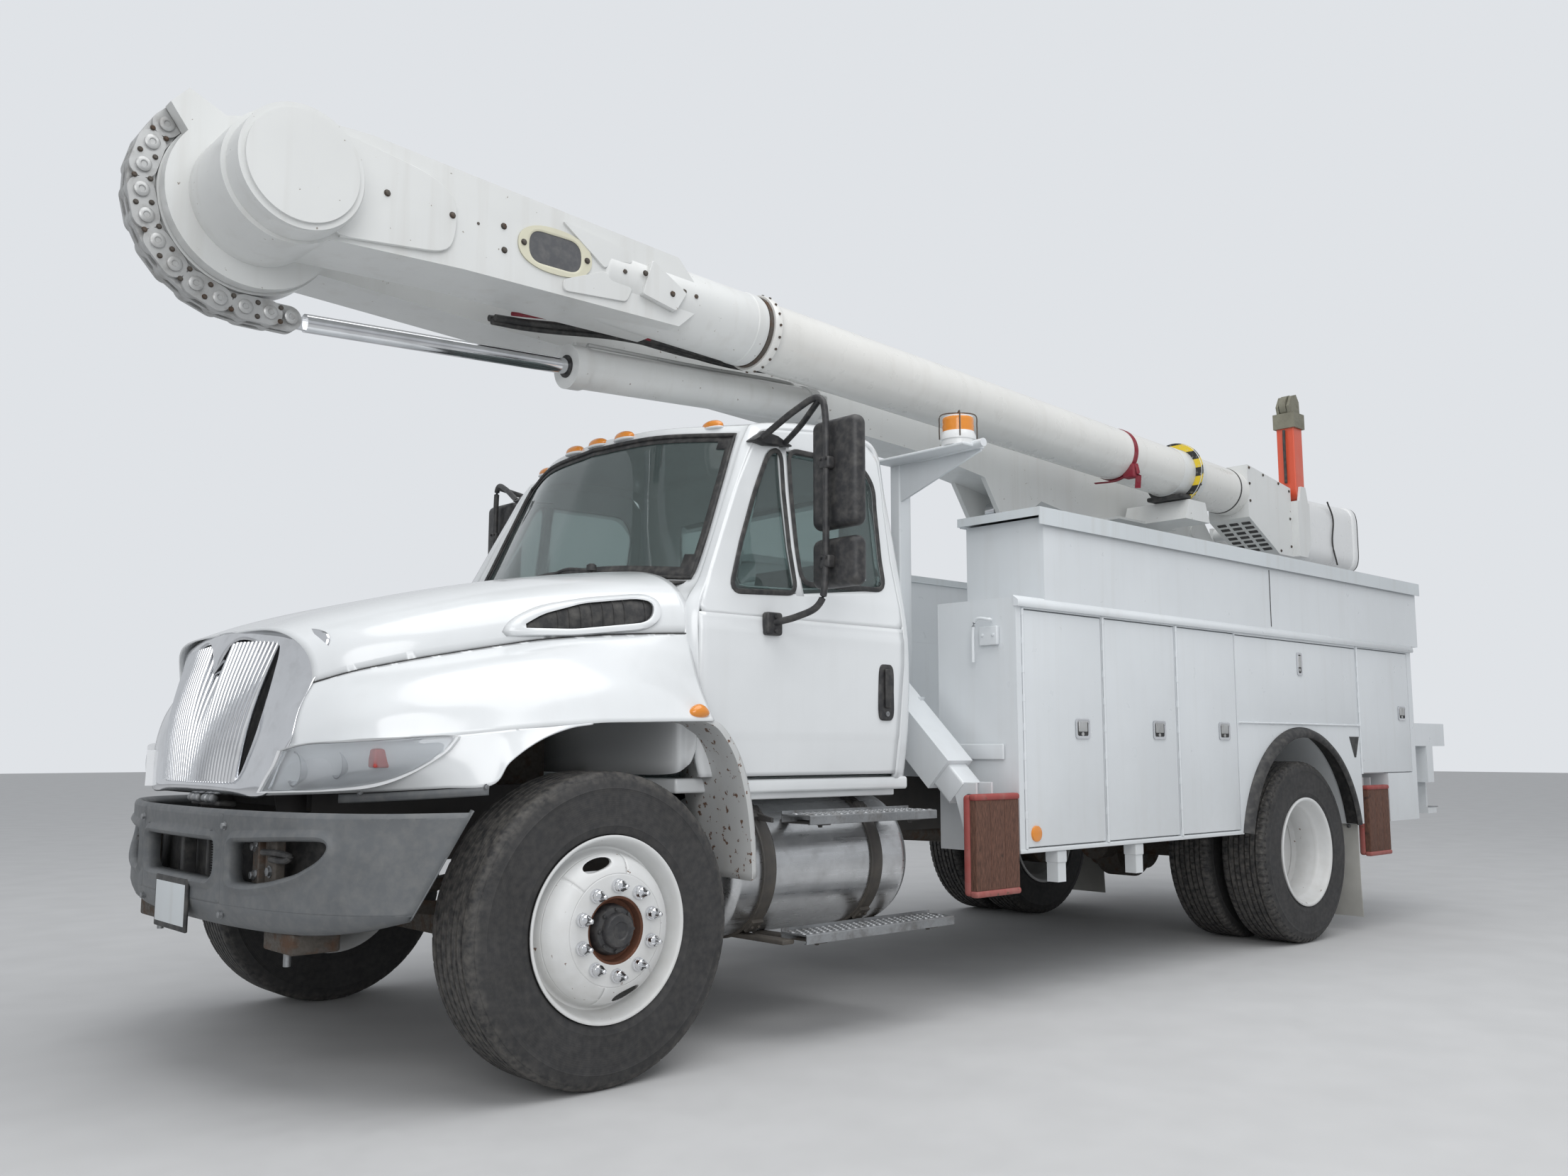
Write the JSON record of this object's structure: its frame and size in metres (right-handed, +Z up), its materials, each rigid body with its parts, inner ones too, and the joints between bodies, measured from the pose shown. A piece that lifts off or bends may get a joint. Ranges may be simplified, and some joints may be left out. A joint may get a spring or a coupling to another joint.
{
  "type": "cherry picker truck",
  "caption": "Conventional cab utility truck with side compartments, sloping outriggers and a folded articulating boom whose insulated upper arm carries a jib and a personnel bucket",
  "frame": {"origin": "on the ground under the middle of the truck's overall box", "axes": "+X forward, +Y to the truck's left, +Z up"},
  "size_m": [8.746, 2.74, 3.655],
  "materials": {
    "frame_steel": "satin black chassis paint with road dust",
    "axle_iron": "dull dark iron",
    "engine_iron": "grey cast block",
    "bumper_plastic": "grained dark grey moulding",
    "tank_aluminium": "brushed tank with black straps",
    "galvanised_steel": "galvanised tread",
    "cab_paint": "glossy white paint",
    "body_paint": "white body paint",
    "box_paint": "white paint with grey cast",
    "boom_paint": "light grey white boom paint",
    "window_glass": "green tinted glass",
    "lamp_glass": "clear lens over bright reflector",
    "interior_plastic": "dark cab trim",
    "grille_chrome": "bright chrome",
    "mirror_plastic": "black moulding",
    "wheel_paint": "white steel wheel, rusty hub",
    "tyre_rubber": "road worn rubber",
    "outrigger_paint": "red foot with timber pad",
    "trim_rubber": "black rubber",
    "rod_chrome": "hard chrome rod",
    "chain_steel": "oiled link plates",
    "tube_fibreglass": "cream fibreglass tube",
    "jib_paint": "orange red paint",
    "jib_head_iron": "olive grey casting",
    "bucket_fibreglass": "white fibreglass"
  },
  "bodies": {
    "chassis": {"frame_rails": "frame_steel", "front_axle": "axle_iron", "rear_axle": "axle_iron", "engine": "engine_iron", "bumper": "bumper_plastic", "fuel_tank": "tank_aluminium", "cab_steps": "galvanised_steel", "cab_shell": "cab_paint", "cab_glass": "window_glass", "cab_interior": "interior_plastic", "arch_trim": "trim_rubber", "subframe": "body_paint", "tail_shelf": "body_paint", "pedestal": "boom_paint", "pack_left": "body_paint", "pack_right": "body_paint"},
    "hood": {"hood": "cab_paint", "grille": "grille_chrome", "headlights": "lamp_glass"},
    "turntable": {"turntable": "boom_paint"},
    "lift_barrel": {"lift_barrel": "boom_paint"},
    "lift_rod": {"lift_rod": "rod_chrome"},
    "lower_boom": {"lower_boom": "boom_paint", "elbow_barrel": "boom_paint"},
    "elbow_rod": {"elbow_rod": "rod_chrome"},
    "elbow_drum": {"elbow_drum": "boom_paint"},
    "upper_boom": {"upper_boom": "boom_paint", "boom_tube": "tube_fibreglass", "boom_tip": "boom_paint", "elbow_chain": "chain_steel"},
    "jib": {"jib_mast": "jib_paint", "jib_head": "jib_head_iron"},
    "bucket": {"bucket": "bucket_fibreglass"},
    "door_left": {"door_left": "cab_paint", "door_glass_left": "window_glass", "mirror_left": "mirror_plastic"},
    "knuckle_left": {"knuckle_left": "axle_iron"},
    "wheel_front_left": {"wheel_front_left": "wheel_paint", "tyre_front_left": "tyre_rubber"},
    "wheels_rear_left": {"wheels_rear_left": "wheel_paint", "tyres_rear_left": "tyre_rubber"},
    "top_box_lid_left": {"top_box_lid_left": "box_paint"},
    "outrigger_front_left": {"outrigger_front_left": "outrigger_paint"},
    "outrigger_rear_left": {"outrigger_rear_left": "outrigger_paint"},
    "door_right": {"door_right": "cab_paint", "door_glass_right": "window_glass", "mirror_right": "mirror_plastic"},
    "knuckle_right": {"knuckle_right": "axle_iron"},
    "wheel_front_right": {"wheel_front_right": "wheel_paint", "tyre_front_right": "tyre_rubber"},
    "wheels_rear_right": {"wheels_rear_right": "wheel_paint", "tyres_rear_right": "tyre_rubber"},
    "top_box_lid_right": {"top_box_lid_right": "box_paint"},
    "outrigger_front_right": {"outrigger_front_right": "outrigger_paint"},
    "outrigger_rear_right": {"outrigger_rear_right": "outrigger_paint"},
    "compartment_door_1": {"compartment_door_1": "body_paint"},
    "compartment_door_2": {"compartment_door_2": "body_paint"},
    "compartment_door_3": {"compartment_door_3": "body_paint"},
    "compartment_door_4": {"compartment_door_4": "body_paint"},
    "compartment_door_5": {"compartment_door_5": "body_paint"}
  },
  "joints": [
    {"name": "steer_left", "type": "hinge", "parent": "chassis", "child": "knuckle_left", "pos_m": [3.085, 0.905, 0.51], "axis": [0, 0, 1], "range_deg": [-32, 32]},
    {"name": "spin_front_left", "type": "hinge", "parent": "knuckle_left", "child": "wheel_front_left", "pos_m": [3.085, 1.035, 0.51], "axis": [0, 1, 0], "continuous": true},
    {"name": "spin_rear_left", "type": "hinge", "parent": "chassis", "child": "wheels_rear_left", "pos_m": [-1.715, 0.9125, 0.51], "axis": [0, 1, 0], "continuous": true},
    {"name": "door_left_swing", "type": "hinge", "parent": "chassis", "child": "door_left", "pos_m": [2.582, 1.005, 1.6], "axis": [0, 0, -1], "range_deg": [0, 70]},
    {"name": "lid_left_lift", "type": "hinge", "parent": "chassis", "child": "top_box_lid_left", "pos_m": [-1.315, 0.7642, 2.151], "axis": [1, 0, 0], "range_deg": [0, 95]},
    {"name": "outrigger_front_left_slide", "type": "slide", "parent": "chassis", "child": "outrigger_front_left", "axis": [0, 0.7193, -0.6947], "range_m": [0, 0.42]},
    {"name": "outrigger_rear_left_slide", "type": "slide", "parent": "chassis", "child": "outrigger_rear_left", "axis": [0, 0.7193, -0.6947], "range_m": [0, 0.42]},
    {"name": "steer_right", "type": "hinge", "parent": "chassis", "child": "knuckle_right", "pos_m": [3.085, -0.905, 0.51], "axis": [0, 0, 1], "range_deg": [-32, 32]},
    {"name": "spin_front_right", "type": "hinge", "parent": "knuckle_right", "child": "wheel_front_right", "pos_m": [3.085, -1.035, 0.51], "axis": [0, 1, 0], "continuous": true},
    {"name": "spin_rear_right", "type": "hinge", "parent": "chassis", "child": "wheels_rear_right", "pos_m": [-1.715, -0.9125, 0.51], "axis": [0, 1, 0], "continuous": true},
    {"name": "door_right_swing", "type": "hinge", "parent": "chassis", "child": "door_right", "pos_m": [2.582, -1.005, 1.6], "axis": [0, 0, 1], "range_deg": [0, 70]},
    {"name": "lid_right_lift", "type": "hinge", "parent": "chassis", "child": "top_box_lid_right", "pos_m": [-1.315, -0.7642, 2.151], "axis": [-1, 0, 0], "range_deg": [0, 95]},
    {"name": "outrigger_front_right_slide", "type": "slide", "parent": "chassis", "child": "outrigger_front_right", "axis": [0, -0.7193, -0.6947], "range_m": [0, 0.42]},
    {"name": "outrigger_rear_right_slide", "type": "slide", "parent": "chassis", "child": "outrigger_rear_right", "axis": [0, -0.7193, -0.6947], "range_m": [0, 0.42]},
    {"name": "hood_tilt", "type": "hinge", "parent": "chassis", "child": "hood", "pos_m": [3.945, 0, 0.953], "axis": [0, 1, 0], "range_deg": [0, 60]},
    {"name": "compartment_door_1_swing", "type": "hinge", "parent": "chassis", "child": "compartment_door_1", "pos_m": [0.922, 1.224, 1.2], "axis": [0, 0, -1], "range_deg": [0, 100]},
    {"name": "compartment_door_2_swing", "type": "hinge", "parent": "chassis", "child": "compartment_door_2", "pos_m": [0.295, 1.224, 1.2], "axis": [0, 0, -1], "range_deg": [0, 100]},
    {"name": "compartment_door_3_swing", "type": "hinge", "parent": "chassis", "child": "compartment_door_3", "pos_m": [-0.36, 1.224, 1.2], "axis": [0, 0, -1], "range_deg": [0, 100]},
    {"name": "compartment_door_5_swing", "type": "hinge", "parent": "chassis", "child": "compartment_door_5", "pos_m": [-2.46, 1.224, 1.2], "axis": [0, 0, -1], "range_deg": [0, 100]},
    {"name": "compartment_door_4_drop", "type": "hinge", "parent": "chassis", "child": "compartment_door_4", "pos_m": [-1.71, 1.224, 1.234], "axis": [1, 0, 0], "range_deg": [-90, 0]},
    {"name": "turntable_slew", "type": "hinge", "parent": "chassis", "child": "turntable", "pos_m": [-2.715, 0, 2.15], "axis": [0, 0, 1], "continuous": true},
    {"name": "lower_boom_lift", "type": "hinge", "parent": "turntable", "child": "lower_boom", "pos_m": [-2.715, -0.19, 2.62], "axis": [0, -1, 0], "range_deg": [0, 80]},
    {"name": "lift_barrel_swing", "type": "hinge", "parent": "turntable", "child": "lift_barrel", "pos_m": [-2.185, -0.19, 2.33], "axis": [0, -1, 0], "range_deg": [0, 90]},
    {"name": "lift_rod_slide", "type": "slide", "parent": "lift_barrel", "child": "lift_rod", "axis": [0.9896, 0, 0.1438], "range_m": [0, 0.9]},
    {"name": "elbow_level", "type": "hinge", "parent": "lower_boom", "child": "elbow_drum", "pos_m": [3.965, -0.19, 3.05], "axis": [0, 1, 0], "range_deg": [0, 80], "deforming": ["elbow_chain"]},
    {"name": "elbow_fold", "type": "hinge", "parent": "elbow_drum", "child": "upper_boom", "pos_m": [3.965, 0.3, 3.05], "axis": [0, 1, 0], "range_deg": [0, 135], "deforming": ["elbow_chain"]},
    {"name": "elbow_rod_slide", "type": "slide", "parent": "lower_boom", "child": "elbow_rod", "axis": [-0.9983, 0, 0.0583], "range_m": [0, 0.88]},
    {"name": "bucket_tilt", "type": "hinge", "parent": "upper_boom", "child": "bucket", "pos_m": [-3.965, -0.19, 2.69], "axis": [0, 1, 0], "range_deg": [-90, 90]},
    {"name": "jib_tilt", "type": "hinge", "parent": "upper_boom", "child": "jib", "pos_m": [-3.39, 0.415, 2.925], "axis": [0, -1, 0], "range_deg": [0, 40]}
  ],
  "couplings": [
    {"joint": "steer_right", "follows": "steer_left", "ratio": 1},
    {"joint": "lift_barrel_swing", "follows": "lower_boom_lift", "ratio": 1.06},
    {"joint": "lift_rod_slide", "follows": "lower_boom_lift", "m_per_rad": 0.545},
    {"joint": "elbow_level", "follows": "lower_boom_lift", "ratio": 1},
    {"joint": "elbow_rod_slide", "follows": "elbow_fold", "m_per_rad": 0.372}
  ]
}
